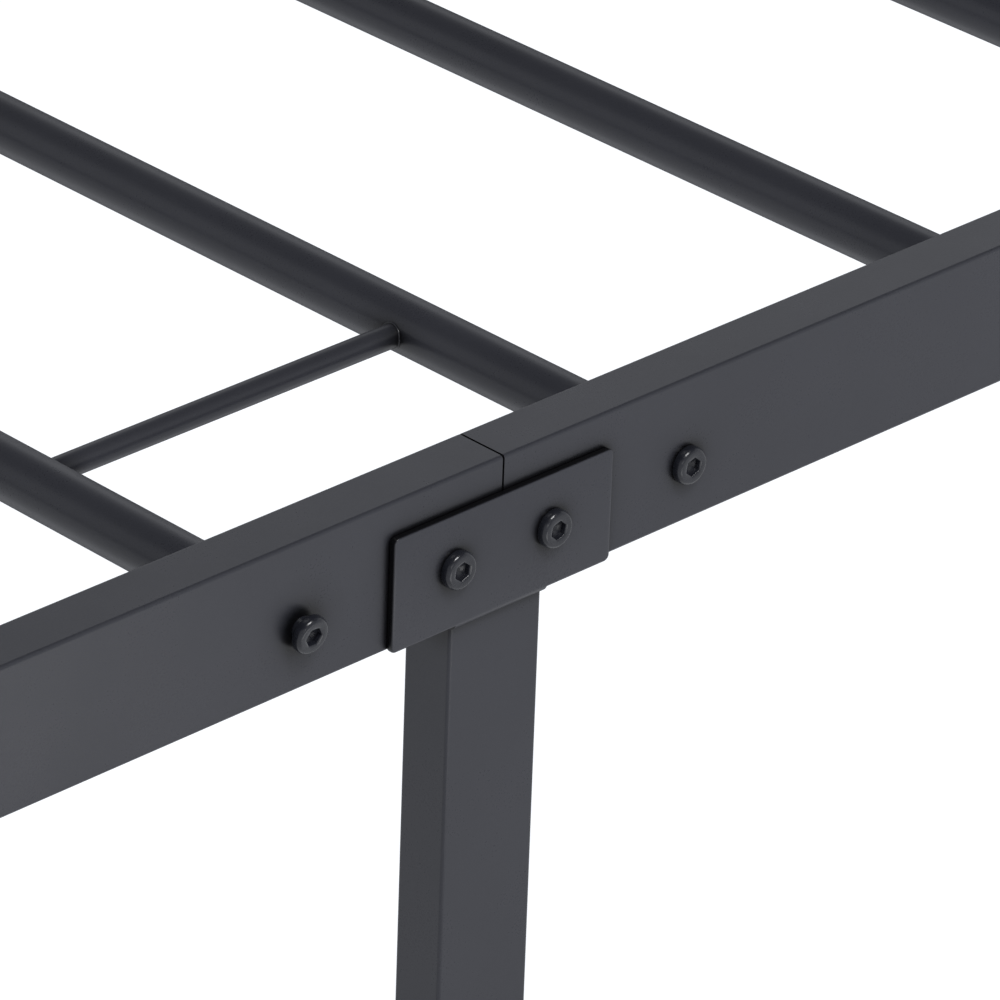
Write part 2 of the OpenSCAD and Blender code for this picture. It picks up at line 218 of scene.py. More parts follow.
def powder_coat():
    """Satin charcoal powder coat: fine orange peel, faint clouds, rubbed edges, and painted shade
    that darkens its corners and gaps.
    """
    tree = Tree(bpy.data.materials.new("powder_coat"))
    clouds = tree.span(tree.noise(14, 4), 0.35, 0.65)
    specks = tree.span(tree.noise(2600, 2), 0.3, 0.7)
    base = tree.mix(clouds, (0.0208, 0.0215, 0.0266), (0.0244, 0.0252, 0.0310))
    grain = tree.mix(specks, (0.0155, 0.0160, 0.0204), (0.0298, 0.0308, 0.0370))
    body = tree.mix(0.4, base, grain)
    patches = tree.span(tree.noise(90, 5), 0.45, 0.65, 0.0, 0.5)
    rubs = tree.math("MULTIPLY", tree.edge(0.6 * MM, 0.15), patches)
    worn = tree.mix(rubs, body, (0.034, 0.035, 0.040))
    # Painted shade: the colour falls towards near black where ambient occlusion finds corners and
    # gaps
    depth = tree.span(tree.corner_shade_mask(14 * MM), 0.70, 1.0)
    colour = tree.mix(depth, (0.002, 0.002, 0.0025), worn)
    smooth = tree.span(tree.noise(35, 4), 0.3, 0.7, 0.28, 0.33)
    even = tree.math("ADD", smooth, tree.span(tree.noise(1400, 2), 0.3, 0.7, -0.03, 0.03))
    rough = tree.math("ADD", even, tree.span(tree.grazing(), 0.55, 0.9, 0, 0.4))
    peel = tree.bump(tree.noise(900), 0.02 * MM, 0.35)
    normal = tree.bump(tree.noise(150, 2), 0.03 * MM, 0.25, peel)
    return tree.finish(colour, rough, normal, specular=0.215)


def black_screws():
    """Gloss black finish over machined steel, rubbed thin on its edges."""
    tree = Tree(bpy.data.materials.new("black_screws"))
    mottle = tree.span(tree.noise(500, 4), 0.3, 0.7)
    body = tree.mix(mottle, (0.0070, 0.0076, 0.0108), (0.0105, 0.0112, 0.0150))
    patches = tree.span(tree.noise(700, 4), 0.4, 0.6, 0.2, 0.9)
    worn = tree.math("MULTIPLY", tree.edge(0.2 * MM, 0.15), patches)
    colour = tree.mix(worn, body, (0.022, 0.023, 0.029))
    rough = tree.span(tree.noise(1500), 0.3, 0.7, 0.18, 0.30)
    normal = tree.bump(tree.noise(2400, 2), 0.008 * MM, 0.3)
    return tree.finish(colour, rough, normal, specular=0.31)


def zinc_steel():
    """Bright zinc plate with a faint crystal mottle and duller clouds."""
    tree = Tree(bpy.data.materials.new("zinc_steel"))
    cell = tree.nodes.new("ShaderNodeTexVoronoi")
    cell.inputs["Scale"].default_value = 700
    tree.put(tree.place, cell.inputs["Vector"])
    grain = tree.span(cell.outputs["Distance"], 0, 0.8)
    body = tree.mix(grain, (0.52, 0.53, 0.55), (0.64, 0.65, 0.66))
    dull = tree.span(tree.noise(120, 4), 0.45, 0.65, 0, 0.6)
    colour = tree.mix(dull, body, (0.36, 0.36, 0.37))
    rough = tree.span(tree.noise(300, 4), 0.3, 0.7, 0.28, 0.5)
    normal = tree.bump(tree.noise(900), 0.01 * MM, 0.4)
    return tree.finish(colour, rough, normal, metallic=1.0)


def bare_steel():
    """Drawn steel under a thin film of oil, with draw marks along X."""
    tree = Tree(bpy.data.materials.new("bare_steel"))
    drawn = tree.nodes.new("ShaderNodeMapping")
    drawn.inputs["Scale"].default_value = (4, 900, 900)
    tree.put(tree.place, drawn.inputs["Vector"])
    marks = tree.noise(1, 5, drawn.outputs["Vector"])
    body = tree.mix(tree.span(marks, 0.3, 0.7), (0.34, 0.34, 0.35), (0.50, 0.50, 0.51))
    stain = tree.span(tree.noise(60, 5), 0.5, 0.7, 0, 0.5)
    colour = tree.mix(stain, body, (0.20, 0.17, 0.14))
    rough = tree.span(tree.noise(80, 4), 0.3, 0.7, 0.25, 0.45)
    normal = tree.bump(marks, 0.02 * MM, 0.5)
    return tree.finish(colour, rough, normal, metallic=1.0)


def moulded_plastic(name, dark, light, grain):
    """Black moulded plastic with a spark-eroded grain and scuffed edges."""
    tree = Tree(bpy.data.materials.new(name))
    body = tree.mix(tree.span(tree.noise(200, 4), 0.35, 0.65), dark, light)
    patches = tree.span(tree.noise(160, 5), 0.45, 0.62, 0, 0.8)
    scuffs = tree.math("MULTIPLY", tree.edge(0.6 * MM, 0.15), patches)
    colour = tree.mix(scuffs, body, (0.09, 0.09, 0.09))
    rough = tree.span(tree.noise(600), 0.3, 0.7, 0.55, 0.7)
    normal = tree.bump(tree.noise(grain, 2), 0.05 * MM, 0.6)
    return tree.finish(colour, rough, normal)


def saddle_plastic():
    return moulded_plastic("saddle_plastic", (0.020, 0.020, 0.022), (0.034, 0.034, 0.037), 1500)


def cap_plastic():
    return moulded_plastic("cap_plastic", (0.014, 0.014, 0.016), (0.026, 0.026, 0.028), 2200)


MATERIALS = {
    "powder_coat": powder_coat(),
    "black_screws": black_screws(),
    "zinc_steel": zinc_steel(),
    "bare_steel": bare_steel(),
    "saddle_plastic": saddle_plastic(),
    "cap_plastic": cap_plastic(),
}

# ---------- mesh tools ----------

SHARP = math.radians(38)
LEAST_R = 0.05 * MM


def make_piece(name, form, slot, *nodes):
    """Turns a bmesh into a piece of the object that stands for the CAD nodes named."""
    bmesh.ops.recalc_face_normals(form, faces=form.faces)
    mesh = bpy.data.meshes.new(name)
    form.to_mesh(mesh)
    form.free()
    mesh.polygons.foreach_set("use_smooth", [True] * len(mesh.polygons))
    mesh.set_sharp_from_angle(angle=SHARP)
    mesh.materials.append(MATERIALS[slot])
    piece = bpy.data.objects.new(name, mesh)
    bpy.context.scene.collection.objects.link(piece)
    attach(piece, "root")
    if nodes:
        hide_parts(*nodes)


def loft(form, rings, place=None, closed=False):
    """Skins a row of rings of equally many points, and caps its ends or joins them if closed."""
    place = place or Matrix.Identity(4)
    rows = [[form.verts.new(place @ Vector(p)) for p in ring] for ring in rings]
    pairs = list(zip(rows, rows[1:]))
    if closed:
        pairs.append((rows[-1], rows[0]))
    for low, high in pairs:
        for i in range(len(low)):
            j = (i + 1) % len(low)
            form.faces.new((low[i], low[j], high[j], high[i]))
    if not closed:
        form.faces.new(list(reversed(rows[0])))
        form.faces.new(rows[-1])


def arc(cx, cy, r, start, end, steps):
    """Points on an arc, its two ends given in turns."""
    turns = [start + (end - start) * i / steps for i in range(steps + 1)]
    return [(cx + r * math.cos(TAU * t), cy + r * math.sin(TAU * t)) for t in turns]


def circle(r, count):
    return arc(0, 0, r, 0, 1, count)[:-1]


def rounded_rect(w, h, r, steps=5):
    """Outline of a rectangle with rounded corners, centred, anticlockwise."""
    r = max(r, LEAST_R)
    points = []
    for k, (sx, sy) in enumerate(((1, 1), (-1, 1), (-1, -1), (1, -1))):
        points += arc(sx * (w / 2 - r), sy * (h / 2 - r), r, k / 4, (k + 1) / 4, steps)
    return points


def drawn_in(s, r):
    """How far an end rounded to radius r is drawn in at the distance s from that end."""
    return r - math.sqrt(r * r - (r - s) ** 2) if s < r else 0.0


def slab(form, w, h, thick, place):
    """Plate from z = 0 to z = thick in its own frame, its corners and its edges rounded."""
    steps = [PLATE_EDGE * t for t in (0, 0.08, 0.3, 0.6, 1)]
    rings = []
    for z in steps + [thick - s for s in reversed(steps)]:
        inset = drawn_in(min(z, thick - z), PLATE_EDGE)
        outline = rounded_rect(w - 2 * inset, h - 2 * inset, PLATE_R - inset)
        rings.append([(x, y, z) for x, y in outline])
    loft(form, rings, place)


def axes(origin, across, up):
    """Frame at the origin given: local X along across, local Y along up."""
    across = Vector(across)
    up = Vector(up)
    turn = Matrix((across, up, across.cross(up))).transposed().to_4x4()
    return Matrix.Translation(origin) @ turn


def facing(x, y, z, way):
    """Frame at the point given with its Z along the unit vector way."""
    turn = Vector(way).to_track_quat("Z", "Y").to_matrix().to_4x4()
    return Matrix.Translation((x, y, z)) @ turn


def mirrored(ex, sy):
    """Sends what is drawn at the head end's right corner to another corner."""
    return Matrix.Diagonal((ex, sy, 1, 1))


# ---------- tubes of the deck ----------

SLAT_SIDES = 96
ROD_SIDES = 64


def make_slats():
    for name, x in SLAT_XS.items():
        lo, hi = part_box(name)
        form = bmesh.new()
        bore = SLAT_R - SLAT_WALL
        rings = []
        for r, y in ((SLAT_R, lo.y), (SLAT_R, hi.y), (bore, hi.y), (bore, lo.y)):
            rings.append([(x + a, y, SLAT_Z + b) for a, b in circle(r, SLAT_SIDES)])
        loft(form, rings, closed=True)
        make_piece(f"{name}_tube", form, "powder_coat", name)


def make_tie_rods():
    for side, sy in SIDES.items():
        name = f"tie_rod_{side}"
        lo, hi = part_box(name)
        form = bmesh.new()
        y = (lo.y + hi.y) / 2
        outline = circle(TIE_ROD_R, ROD_SIDES)
        loft(form, [[(x, y + a, SLAT_Z + b) for a, b in outline] for x in (lo.x, hi.x)])
        make_piece(f"{name}_bar", form, "powder_coat", name)


# ---------- weld beads ----------

WELD_PITCH = 1.9 * MM
WELD_STEP = WELD_PITCH / 5
WELD_SIDES = 10
WELD_R = 1.5 * MM
# How far a bead's drops differ in size, as a share of its ripple
WELD_SPREAD = 0.4
# Share of a bead's section that is left at its open ends
WELD_END = 0.12
CORNER_WELD_R = 1.4 * MM
CORNER_WELD_IN = 2 * MM
ROD_WELD_R = 0.5 * MM
ROD_WELD_RIPPLE = 0.08
ROD_LOOP_POINTS = 40


def even_points(points, step, closed):
    """Points at even steps along a polyline."""
    points = [Vector(p) for p in points]
    if closed:
        points.append(points[0])
    lengths = [0.0]
    for a, b in zip(points, points[1:]):
        lengths.append(lengths[-1] + (b - a).length)
    count = max(2, round(lengths[-1] / step))
    out = []
    k = 0
    for i in range(count if closed else count + 1):
        s = lengths[-1] * i / count
        while k < len(points) - 2 and lengths[k + 1] < s:
            k += 1
        part = (s - lengths[k]) / (lengths[k + 1] - lengths[k])
        out.append(points[k].lerp(points[k + 1], part))
    return out


def untwisted(rings):
    """Turns a closed tube's rings little by little so that the last meets the first."""
    size = len(rings[0])
    shift = min(range(size), key=lambda k: (Vector(rings[-1][k]) - Vector(rings[0][0])).length)
    if shift > size / 2:
        shift -= size
    turned = []
    for i, ring in enumerate(rings):
        part = shift * i / len(rings)
        whole = math.floor(part)
        turned.append([ring[(k + whole) % size].lerp(ring[(k + whole + 1) % size], part - whole)
                       for k in range(size)])
    return turned


def weld_bead(form, path, radius, seed, closed=False, ripple=0.2):
    """Bead along a path; its drops swell and fall away by the ripple, no two quite alike."""
    rng = random.Random(seed)
    points = even_points(path, WELD_STEP, closed)
    count = len(points)
    phase = rng.random()
    sizes = {}
    rings = []
    side = None
    for i, point in enumerate(points):
        before = points[i - 1] if closed or i else point
        after = points[(i + 1) % count] if closed or i < count - 1 else point
        along = (after - before).normalized()
        side = side - along * along.dot(side) if side else along.orthogonal()
        side.normalize()
        up = along.cross(side)
        drop, part = divmod(i * WELD_STEP / WELD_PITCH + phase, 1)
        size = sizes.setdefault(drop, 1 + rng.uniform(-WELD_SPREAD, WELD_SPREAD) * ripple)
        r = radius * size * (1 - ripple + ripple * math.sqrt(max(0.0, 1 - (2 * part - 1) ** 2)))
        if not closed:
            r *= math.sqrt(min(1.0, WELD_END + min(i, count - 1 - i) * WELD_STEP / radius))
        rings.append([point + side * a + up * b for a, b in circle(r, WELD_SIDES)])
    loft(form, untwisted(rings) if closed else rings, closed=closed)


def rect_loop(x, y, z, w, h):
    return [(x + a, y + b, z) for a, b in rounded_rect(w, h, TUBE_R, 4)]


def rod_loop(x, way, y):
    """Line where a tie rod runs into the side of the slat at x."""
    loop = []
    for a, b in circle(TIE_ROD_R, ROD_LOOP_POINTS):
        loop.append((x + way * math.sqrt(SLAT_R ** 2 - b ** 2), y + a, SLAT_Z + b))
    return loop


def make_welds():
    form = bmesh.new()
    for sy in SIDES.values():
        for x in sorted(SLAT_XS.values(), key=abs)[:2]:
            way = -math.copysign(1, x)
            loop = rod_loop(x, way, sy * (SIDE_Y - TIE_ROD_IN))
            weld_bead(form, loop, ROD_WELD_R, f"rod {x:.2f} {sy}", True, ROD_WELD_RIPPLE)
    for end, ex in ENDS.items():
        for sy in SIDES.values():
            line = [(ex * END_X, sy * (SIDE_Y - d), RAIL_BOTTOM - PLATE_DROP)
                    for d in (CORNER_WELD_IN, LEG_W - CORNER_WELD_IN)]
            weld_bead(form, line, CORNER_WELD_R, f"corner {end} {sy}")
        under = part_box(f"centre_leg_plate_{end}")[0].z
        loop = rect_loop(ex * CENTRE_LEG_X, 0, under, LEG_W, LEG_T)
        weld_bead(form, loop, WELD_R, f"leg {end}", True)
        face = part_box(f"centre_beam_{end}")[1 if ex > 0 else 0].x
        loop = [(face, y, BEAM_Z + z) for y, z in rounded_rect(BEAM_T, BEAM_H, TUBE_R, 4)]
        weld_bead(form, loop, WELD_R, f"beam {end}", True)
    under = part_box("centre_channel")[0].z
    weld_bead(form, rect_loop(0, 0, under, LEG_W, LEG_T), WELD_R, "channel", True)
    make_piece("weld_beads", form, "powder_coat")


# ---------- screws ----------

SCREW_SIDES = 48
SHANK_R = 4 * MM
SHANK_TOP = -0.3 * MM
HEAD_H = 3.4 * MM
HEX_AF = 5.5 * MM
HEX_DEPTH = 2.1 * MM
DRILL_R = 1.2 * MM
DRILL_DEPTH = 0.5 * MM
TIP_CHAMFER = 1.2 * MM
# (radius, height above the seat) in millimetres, from the head's underside to its socket
HEAD_PROFILE = ((4.3, 0), (6.05, 0), (6.3, 0.1), (6.4, 0.35), (6.4, 1.75), (6.35, 2.1),
                (6.23, 2.45), (6.03, 2.78), (5.8, 3.05), (5.55, 3.24), (5.3, 3.36),
                (5.0, 3.4), (3.9, 3.4), (3.6, 3.36))
# (growth across flats, depth) in millimetres down the socket's chamfered mouth
SOCKET_MOUTH = ((0.4, 0.15), (0.1, 0.3), (0, 0.55))
SCREW_LENGTHS = {"slat_bolts": 35 * MM, "mid_plate_bolts": 16 * MM, "corner_plate_bolts": 16 * MM,
                 "beam_end_bolts": 16 * MM, "centre_leg_bolts": 12 * MM, "channel_bolts": 32 * MM}
# One screw of the left side isn't driven home: it stands out of the rail and droops
LOOSE_SLAT = "slat_06"
LOOSE_OUT = 2.4 * MM
LOOSE_DROOP = math.radians(8)


def ring_at(points, z):
    return [(x, y, z) for x, y in points]


def hexagon(across_flats, count):
    """Hexagon with as many points as the screw's round rings."""
    points = []
    for k in range(count):
        turn = k / count
        off_middle = (turn % (1 / 6)) - 1 / 12
        r = across_flats / 2 / math.cos(TAU * off_middle)
        points.append((r * math.cos(TAU * turn), r * math.sin(TAU * turn)))
    return points


def screw_rings(length):
    """Button-head screw from its tip up to the floor of its socket, its seat at z = 0."""
    rings = [ring_at(circle(SHANK_R - TIP_CHAMFER, SCREW_SIDES), -length),
             ring_at(circle(SHANK_R, SCREW_SIDES), TIP_CHAMFER - length),
             ring_at(circle(SHANK_R, SCREW_SIDES), SHANK_TOP)]
    rings += [ring_at(circle(r * MM, SCREW_SIDES), z * MM) for r, z in HEAD_PROFILE]
    for grow, drop in SOCKET_MOUTH:
        rings.append(ring_at(hexagon(HEX_AF + grow * MM, SCREW_SIDES), HEAD_H - drop * MM))
    rings.append(ring_at(hexagon(HEX_AF, SCREW_SIDES), HEAD_H - HEX_DEPTH))
    rings.append(ring_at(circle(DRILL_R, SCREW_SIDES), HEAD_H - HEX_DEPTH - DRILL_DEPTH))
    return rings


def screw_group(name, places):
    """One piece for all the screws of a CAD node, each of them turned its own way."""
    rng = random.Random(name)
    form = bmesh.new()
    for place in places:
        turn = Matrix.Rotation(rng.uniform(0, TAU / 6), 4, "Z")
        loft(form, screw_rings(SCREW_LENGTHS[name]), place @ turn)
    make_piece(f"{name}_detail", form, "black_screws", name)


def on_side(x, sy, out=0.0):
    """Seat of a screw in the outer face of a side rail."""
    return facing(x, sy * (SIDE_Y + out), BOLT_Z, (0, sy, 0))


def on_end(y, ex, out=0.0):
    return facing(ex * (END_X + out), y, BOLT_Z, (ex, 0, 0))


def make_screws():
    slat = []
    for sy in SIDES.values():
        for name, x in SLAT_XS.items():
            slat.append(on_side(x, sy))
            if name == LOOSE_SLAT and sy == SIDES["left"]:
                slat[-1] = on_side(x, sy, LOOSE_OUT) @ Matrix.Rotation(LOOSE_DROOP, 4, "X")
    mid = [on_side(sx * PLATE_BOLT_GAP / 2, sy, PLATE_T) for sy in SIDES.values() for sx in (-1, 1)]
    corner = []
    beam_end = []
    centre_leg = []
    for end, ex in ENDS.items():
        seat_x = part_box(f"beam_end_plate_{end}")[0 if ex > 0 else 1].x
        seat_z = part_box(f"centre_leg_plate_{end}")[0].z
        for sy in SIDES.values():
            corner += [on_side(ex * (END_X - d), sy, PLATE_T) for d in CORNER_BOLT_IN]
            corner += [on_end(sy * (SIDE_Y - d), ex, PLATE_T) for d in CORNER_BOLT_IN]
            beam_end.append(facing(seat_x, sy * END_BOLT_Y, BOLT_Z, (-ex, 0, 0)))
            centre_leg.append(facing(ex * CENTRE_LEG_X + sy * TOP_BOLT_X, 0, seat_z, (0, 0, -1)))
    channel_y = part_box("centre_channel")[0].y
    channel = [facing(sx * CHANNEL_BOLT_X, channel_y, BEAM_Z, (0, -1, 0)) for sx in (-1, 1)]
    screw_group("slat_bolts", slat)
    screw_group("mid_plate_bolts", mid)
    screw_group("corner_plate_bolts", corner)
    screw_group("beam_end_bolts", beam_end)
    screw_group("centre_leg_bolts", centre_leg)
    screw_group("channel_bolts", channel)


# ---------- brackets ----------


def flat_section(shrink, inset):
    """Outline (out, z) across a bracket's sheet; z = 0 is the rail's underside."""
    low = shrink - PLATE_DROP
    high = PLATE_H - PLATE_DROP - shrink
    edge = PLATE_EDGE
    roll = PLATE_ROLL
    outline = arc(PLATE_T - inset - edge, high - edge, edge, 0, 0.25, 4)
    outline += arc(inset + edge, high - edge, edge, 0.25, 0.5, 4)
    outline += arc(inset + edge, low + edge, edge, 0.5, 0.75, 4)
    outline += arc(PLATE_T - inset - roll, low + roll, roll, 0.75, 1, 6)
    return outline


def folded_section(depth):
    """The same where the sheet folds in under the rail and reaches depth behind its face."""
    edge = PLATE_EDGE
    high = PLATE_H - PLATE_DROP
    outline = arc(PLATE_T - edge, high - edge, edge, 0, 0.25, 4)
    outline += arc(edge, high - edge, edge, 0.25, 0.5, 4)
    outline += arc(-FOLD_R, FOLD_R, FOLD_R, 0, -0.25, 6)
    outline += [(-depth, 0), (-depth, -PLATE_T)]
    outline += arc(-FOLD_R, FOLD_R, FOLD_R + PLATE_T, -0.25, 0, 10)
    return outline


def bent_sheet(form, stops, fold, depth, place):
    """Bracket sheet along a path of (point, outward normal, distance) in plan, in three lengths:
    plain, folded in under the rail between the fold's two distances, and plain again."""
    total = stops[-1][2]

    def between(start, end):
        marks = [s for s in end_marks(total) if start < s < end]
        marks += [stop[2] for stop in stops if start < stop[2] < end]
        return sorted({start, end, *marks})

    for start, end, folded in ((0, fold[0], False), (*fold, True), (fold[1], total, False)):
        rings = []
        for s in between(start, end):
            point, out = along_path(stops, s)
            near = min(s, total - s)
            section = folded_section(depth) if folded else flat_section(
                drawn_in(near, PLATE_R), drawn_in(near, PLATE_EDGE))
            rings.append([(point.x + out.x * o, point.y + out.y * o, RAIL_BOTTOM + z)
                          for o, z in section])
        loft(form, rings, place)


def end_marks(total):
    """Distances at which a sheet's rounded ends need a ring."""
    near = [PLATE_EDGE * t for t in (0.1, 0.35, 0.65, 1)]
    near += [PLATE_R * t for t in (0.4, 0.6, 0.8, 1)]
    return near + [total - s for s in near]


def along_path(stops, s):
    """Point and outward normal at the distance s along a path."""
    for low, high in zip(stops, stops[1:]):
        if s <= high[2]:
            break
    part = (s - low[2]) / (high[2] - low[2])
    return low[0].lerp(high[0], part), low[1].lerp(high[1], part).normalized()


def corner_path(start_x, end_y, steps=8):
    """Path along a side rail's face, round the bed's corner and along the end rail's face."""
    r = CORNER_FOLD_R
    bend = TAU / 4 * r
    straight = END_X - r - start_x
    stops = [(Vector((start_x, SIDE_Y)), Vector((0, 1)), 0.0)]
    for k in range(steps + 1):
        x, y = arc(END_X - r, SIDE_Y - r, r, 0.25, 0, steps)[k]
        out = Vector(arc(0, 0, 1, 0.25, 0, steps)[k])
        stops.append((Vector((x, y)), out, straight + bend * k / steps))
    stops.append((Vector((END_X, end_y)), Vector((1, 0)), straight + bend + SIDE_Y - r - end_y))
    return stops


def make_brackets():
    half = PLATE_L / 2
    for side, sy in SIDES.items():
        form = bmesh.new()
        stops = [(Vector((x, SIDE_Y)), Vector((0, 1)), x + half) for x in (-half, half)]
        fold = (half - LEG_W / 2, half + LEG_W / 2)
        bent_sheet(form, stops, fold, LEG_T - LEG_WALL - TONGUE_GAP, mirrored(1, sy))
        make_piece(f"mid_leg_plate_{side}_sheet", form, "powder_coat", f"mid_leg_plate_{side}")
    start = END_X + PLATE_T - CORNER_ARM
    for end, ex in ENDS.items():
        for side, sy in SIDES.items():
            form = bmesh.new()
            stops = corner_path(start, SIDE_Y + PLATE_T - CORNER_ARM)
            fold = (END_X - LEG_W - start, END_X - CORNER_FOLD_CLEAR - start)
            bent_sheet(form, stops, fold, LEG_W - LEG_WALL - TONGUE_GAP, mirrored(ex, sy))
            name = f"corner_plate_{end}_{side}"
            make_piece(f"{name}_sheet", form, "powder_coat", name)


# ---------- plates and channel of the centre beam ----------

CHANNEL_FOLD_R = 1.5 * MM
CHANNEL_EDGE = 0.6 * MM


def box_plate(name, across, up):
    """Flat plate that fills a CAD node's box; across and up span its face."""
    lo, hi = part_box(name)
    size = hi - lo
    out = Vector(across).cross(Vector(up))
    thick = abs(size.dot(out))
    form = bmesh.new()
    place = axes((lo + hi) / 2 - out * thick / 2, across, up)
    slab(form, abs(size.dot(Vector(across))), abs(size.dot(Vector(up))), thick, place)
    make_piece(f"{name}_sheet", form, "powder_coat", name)


def make_channel():
    """U-shaped channel with rounded folds below and rounded free edges above."""
    lo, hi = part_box("centre_channel")
    wall = (hi.y - lo.y - BEAM_T) / 2
    top = hi.z - lo.z
    half = (hi.y - lo.y) / 2
    fold = CHANNEL_FOLD_R
    edge = CHANNEL_EDGE
    outline = arc(half - fold, fold, fold, 0.75, 1.0, 6)
    outline += arc(half - edge, top - edge, edge, 0, 0.25, 3)
    outline += arc(half - wall + edge, top - edge, edge, 0.25, 0.5, 3)
    outline += [(half - wall, wall), (wall - half, wall)]
    outline += arc(wall - half - edge, top - edge, edge, 0, 0.25, 3)
    outline += arc(edge - half, top - edge, edge, 0.25, 0.5, 3)
    outline += arc(fold - half, fold, fold, 0.5, 0.75, 6)
    form = bmesh.new()
    loft(form, [[(x, y, lo.z + z) for y, z in outline] for x in (lo.x, hi.x)])
    make_piece("centre_channel_sheet", form, "powder_coat", "centre_channel")


def make_beam_plates():
    for end in ENDS:
        box_plate(f"beam_end_plate_{end}", (0, 1, 0), (0, 0, 1))
        box_plate(f"centre_leg_plate_{end}", (1, 0, 0), (0, 1, 0))
    make_channel()


# ---------- plastic caps and saddles ----------

# (inset, height) in millimetres up the outside of a foot cap
CAP_PROFILE = ((2.6, 0.0), (1.2, 0.12), (0.45, 0.5), (0.1, 1.1), (0.0, 1.8), (0.0, 3.1),
               (0.35, 3.4), (0.35, 3.8), (0.05, 4.0))
# (inset, depth) in millimetres from a rail plug's flat rim down into its moulded pocket
POCKET_PROFILE = ((1.8, 0), (2.1, 0.3), (2.2, 1.5))
RIM_EDGE = 0.4 * MM
RIM_R = 0.6 * MM
SADDLE_CORNER = 0.8 * MM
SADDLE_EDGE = 0.5 * MM


def foot_cap(form, x, y, w, t):
    """Cap with a rounded foot, a shadow groove under the tube, and a plug up inside it."""
    def ring(inset, z, r):
        return [(x + a, y + b, z) for a, b in rounded_rect(w - 2 * inset, t - 2 * inset, r)]

    rings = [ring(d * MM, z * MM, TUBE_R + (0.3 - d) * MM) for d, z in CAP_PROFILE]
    snug = LEG_WALL + PLUG_FIT
    rings.append(ring(snug, CAP_H, PLUG_R))
    rings.append(ring(snug, CAP_H + PLUG_H - PLUG_TIP_H, PLUG_R))
    rings.append(ring(snug + PLUG_TIP_IN, CAP_H + PLUG_H, PLUG_R))
    loft(form, rings)


def make_caps():
    form = bmesh.new()
    for ex in ENDS.values():
        for sy in SIDES.values():
            foot_cap(form, ex * (END_X - LEG_W / 2), sy * (SIDE_Y - LEG_W / 2), LEG_W, LEG_W)
    make_piece("corner_foot_caps_moulded", form, "cap_plastic", "corner_foot_caps")
    form = bmesh.new()
    for sy in SIDES.values():
        foot_cap(form, 0, sy * (SIDE_Y - LEG_T / 2), LEG_W, LEG_T)
    for x in (-CENTRE_LEG_X, 0, CENTRE_LEG_X):
        foot_cap(form, x, 0, LEG_W, LEG_T)
    make_piece("leg_foot_caps_moulded", form, "cap_plastic", "leg_foot_caps")


def make_rail_plugs():
    """Plugs in the side rails' ends, each with a rounded rim and a shallow moulded pocket."""
    rail_t = rail_hi.y - rail_lo.y
    rail_h = RAIL_TOP - RAIL_BOTTOM
    bore = RAIL_WALL + PLUG_FIT
    steps = [RIM_EDGE * t for t in (1, 0.6, 0.3, 0.08, 0)]
    profile = [(bore, PLUG_H)] + [(bore + drawn_in(s, RIM_EDGE), s) for s in steps]
    profile += [(bore + inset * MM, depth * MM) for inset, depth in POCKET_PROFILE]
    rings = []
    for inset, depth in profile:
        outline = rounded_rect(rail_t - 2 * inset, rail_h - 2 * inset, RIM_R)
        rings.append([(a, b, -depth) for a, b in outline])
    place = axes((END_X, SIDE_Y - rail_t / 2, RAIL_TOP - rail_h / 2), (0, 1, 0), (0, 0, 1))
    form = bmesh.new()
    for ex in ENDS.values():
        for sy in SIDES.values():
            loft(form, rings, mirrored(ex, sy) @ place)
    make_piece("rail_end_plugs_moulded", form, "cap_plastic", "rail_end_plugs")


def saddle_outline(inset):
    """Outline (x, z) of a saddle above the beam, drawn in on every side."""
    top = SADDLE_T + SADDLE_RISE - inset
    half = SADDLE_L / 2 - inset
    corner = SADDLE_CORNER
    r = SLAT_R + inset
    middle = SADDLE_T + SLAT_R
    spread = math.acos((middle - top) / r) / TAU
    outline = arc(half - corner, inset + corner, corner, 0.75, 1.0, 3)
    outline += arc(half - corner, top - corner, corner, 0, 0.25, 3)
    outline += arc(0, middle, r, 0.75 + spread, 0.75 - spread, 16)
    outline += arc(corner - half, top - corner, corner, 0.25, 0.5, 3)
    outline += arc(corner - half, inset + corner, corner, 0.5, 0.75, 3)
    return outline


def make_saddles():
    form = bmesh.new()
    depths = [SADDLE_EDGE * t for t in (0, 0.3, 1)]
    for slat_x in SLAT_XS.values():
        rings = []
        for s in depths + [BEAM_T - s for s in reversed(depths)]:
            outline = saddle_outline(drawn_in(min(s, BEAM_T - s), SADDLE_EDGE))
            rings.append([(slat_x + x, s - BEAM_T / 2, beam_hi.z + z) for x, z in outline])
        loft(form, rings)
    make_piece("slat_saddles_moulded", form, "saddle_plastic", "slat_saddles")


# ---------- camera and light ----------

CAMERA_AZIMUTH = -45.0
CAMERA_ELEVATION = 27.95
CAMERA_ROLL = 2.06
CAMERA_DISTANCE = 2.258
CAMERA_LENS = 266.0
AIM_DROP = 14.9 * MM
CLIP_START = 0.05
CLIP_END = 200
FLOOR_HALF = 60.0
FLOOR_COLOUR = (0.1, 0.1, 0.1)
FLOOR_ROUGHNESS = 0.9
FLOOR_SPECULAR = 0.1
FLOOR_GLOW = 1.04
GLOW_COLOUR = (0.94, 0.96, 1.0)
# (name, azimuth, elevation, distance, size, power) of the lamps that point at the camera's aim
LAMPS = (("key", -2, 60, 2.0, (0.7, 0.5), 38),
         ("glint", -32, 20, 2.0, (0.3, 0.3), 2.5))
# A card on the floor in front of the left side rail
BOUNCE_PLACE = Vector((0.05, -1.4, 0.01))
BOUNCE_SIZE = (0.42, 0.42)
BOUNCE_POWER = 1.5
# (sine of the elevation, brightness) up the studio's walls to its ceiling
WALLS = ((0.0, 1.06), (0.06, 1.0), (0.11, 0.90), (0.50, 0.88), (0.66, 0.08), (1.0, 0.08))


